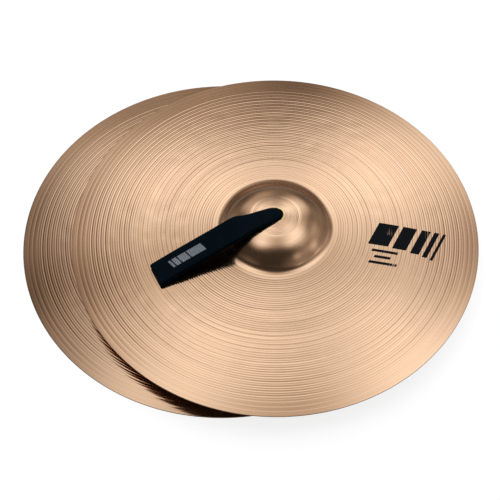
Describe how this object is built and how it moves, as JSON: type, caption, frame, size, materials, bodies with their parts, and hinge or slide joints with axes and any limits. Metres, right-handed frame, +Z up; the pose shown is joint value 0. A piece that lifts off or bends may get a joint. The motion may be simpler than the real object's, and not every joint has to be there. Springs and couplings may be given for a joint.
{
  "type": "hand cymbals",
  "caption": "Nested spun bronze hand cymbals, bell up, with grooved bows and folded webbing hand straps held in the bells by felt washers, steel discs and cross pins.",
  "frame": {"origin": "on the floor, at the middle of the nested pair's footprint", "axes": "+Z up along both cymbals' axes; +X from the lower cymbal's side towards the upper cymbal's; +Y away from a viewer who has the strap's free end on the left"},
  "size_m": [0.4584, 0.4204, 0.0748],
  "materials": {
    "bronze": "lathed bow with fine grooves, polished bell",
    "felt": "pressed wool felt",
    "steel": "zinc-bright satin",
    "webbing": "ribbed nylon webbing",
    "thread": "bonded nylon thread"
  },
  "bodies": {
    "lower_cymbal": {"lower_cymbal": "bronze", "lower_felt_washer": "felt"},
    "lower_strap_anchor": {"lower_retaining_disc": "steel", "lower_cross_pin": "steel", "lower_strap_neck": "webbing", "lower_eye_stitching": "thread"},
    "lower_hand_loop": {"lower_strap_loop": "webbing", "lower_loop_stitching": "thread"},
    "upper_cymbal": {"upper_cymbal": "bronze", "upper_felt_washer": "felt"},
    "upper_strap_anchor": {"upper_retaining_disc": "steel", "upper_cross_pin": "steel", "upper_strap_neck": "webbing", "upper_eye_stitching": "thread"},
    "upper_hand_loop": {"upper_strap_loop": "webbing", "upper_loop_stitching": "thread"}
  },
  "joints": [
    {"name": "upper_lift", "type": "slide", "parent": "lower_cymbal", "child": "upper_cymbal", "axis": [0, 0, 1], "range_m": [0, 0.25]},
    {"name": "upper_strap_swivel", "type": "hinge", "parent": "upper_cymbal", "child": "upper_strap_anchor", "pos_m": [0.026, -0.007, 0.07221], "axis": [0, 0, 1], "continuous": true},
    {"name": "upper_strap_tilt", "type": "hinge", "parent": "upper_strap_anchor", "child": "upper_hand_loop", "pos_m": [0.026, -0.007, 0.07221], "axis": [-0.4258, 0.9048, 0], "range_deg": [0, 100]},
    {"name": "lower_strap_swivel", "type": "hinge", "parent": "lower_cymbal", "child": "lower_strap_anchor", "pos_m": [-0.026, 0.007, 0.04521], "axis": [0, 0, 1], "range_deg": [-20, 20]},
    {"name": "lower_strap_rise", "type": "hinge", "parent": "lower_strap_anchor", "child": "lower_hand_loop", "pos_m": [-0.026, 0.007, 0.04521], "axis": [-0.2588, -0.9659, 0], "range_deg": [0, 60.2]}
  ],
  "couplings": [
    {"joint": "lower_strap_rise", "follows": "upper_lift", "rad_per_m": 4.2}
  ]
}
